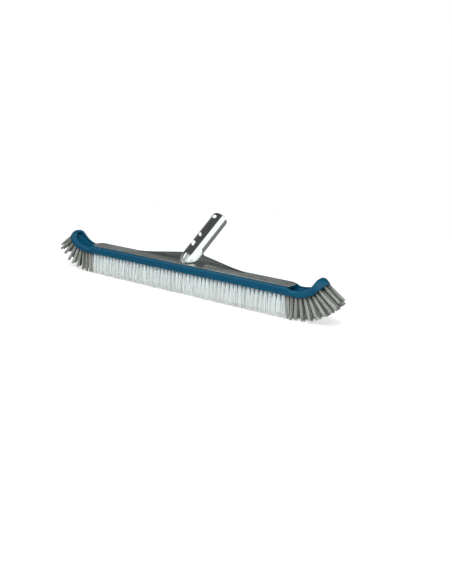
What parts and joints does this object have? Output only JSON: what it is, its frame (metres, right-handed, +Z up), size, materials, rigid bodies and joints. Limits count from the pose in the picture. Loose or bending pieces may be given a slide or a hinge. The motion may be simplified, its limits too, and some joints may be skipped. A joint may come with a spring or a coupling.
{
  "type": "pool wall brush",
  "caption": "Pool wall brush with upturned bristled ends, a moulded blue head, an aluminium back and a leaning tubular handle socket with a spring clip.",
  "frame": {"origin": "middle of the scrubbing face, level with the tips of the straight tufts", "axes": "+X along the head, +Y the side the handle leans to, +Z up from the tips to the handle"},
  "size_m": [0.5974, 0.1179, 0.1221],
  "materials": {
    "blue_plastic": "satin moulded plastic",
    "polished_aluminium": "cast, satin plate and polished socket",
    "clip_nylon": "natural nylon",
    "stainless_screw": "plain stainless",
    "white_nylon": "translucent nylon filament",
    "grey_nylon": "glossy grey filament"
  },
  "bodies": {
    "root": {"brush_head": "blue_plastic", "handle_casting": "polished_aluminium", "clip_bow": "clip_nylon", "screw_1": "stainless_screw", "screw_2": "stainless_screw", "screw_3": "stainless_screw", "screw_4": "stainless_screw", "screw_5": "stainless_screw", "screw_6": "stainless_screw", "white_row_1": "white_nylon", "white_row_2": "white_nylon", "white_row_3": "white_nylon", "white_row_4": "white_nylon", "white_row_5": "white_nylon", "grey_left_01": "grey_nylon", "grey_left_02": "grey_nylon", "grey_left_03": "grey_nylon", "grey_left_04": "grey_nylon", "grey_left_05": "grey_nylon", "grey_left_06": "grey_nylon", "grey_left_07": "grey_nylon", "grey_left_08": "grey_nylon", "grey_left_09": "grey_nylon", "grey_left_10": "grey_nylon", "grey_right_01": "grey_nylon", "grey_right_02": "grey_nylon", "grey_right_03": "grey_nylon", "grey_right_04": "grey_nylon", "grey_right_05": "grey_nylon", "grey_right_06": "grey_nylon", "grey_right_07": "grey_nylon", "grey_right_08": "grey_nylon", "grey_right_09": "grey_nylon", "grey_right_10": "grey_nylon"},
    "clip_leg_upper": {"clip_leg_upper": "clip_nylon"},
    "clip_leg_lower": {"clip_leg_lower": "clip_nylon"}
  },
  "joints": [
    {"name": "upper_pin_press", "type": "hinge", "parent": "root", "child": "clip_leg_upper", "pos_m": [0, 0.01419, 0.06035], "axis": [-1, 0, 0], "range_deg": [0, 2.2], "stiffness_Nm_per_rad": 6, "springref_deg": -2.86},
    {"name": "lower_pin_press", "type": "hinge", "parent": "root", "child": "clip_leg_lower", "pos_m": [0, 0.01419, 0.06035], "axis": [1, 0, 0], "range_deg": [0, 2.2], "stiffness_Nm_per_rad": 6, "springref_deg": -2.86}
  ]
}
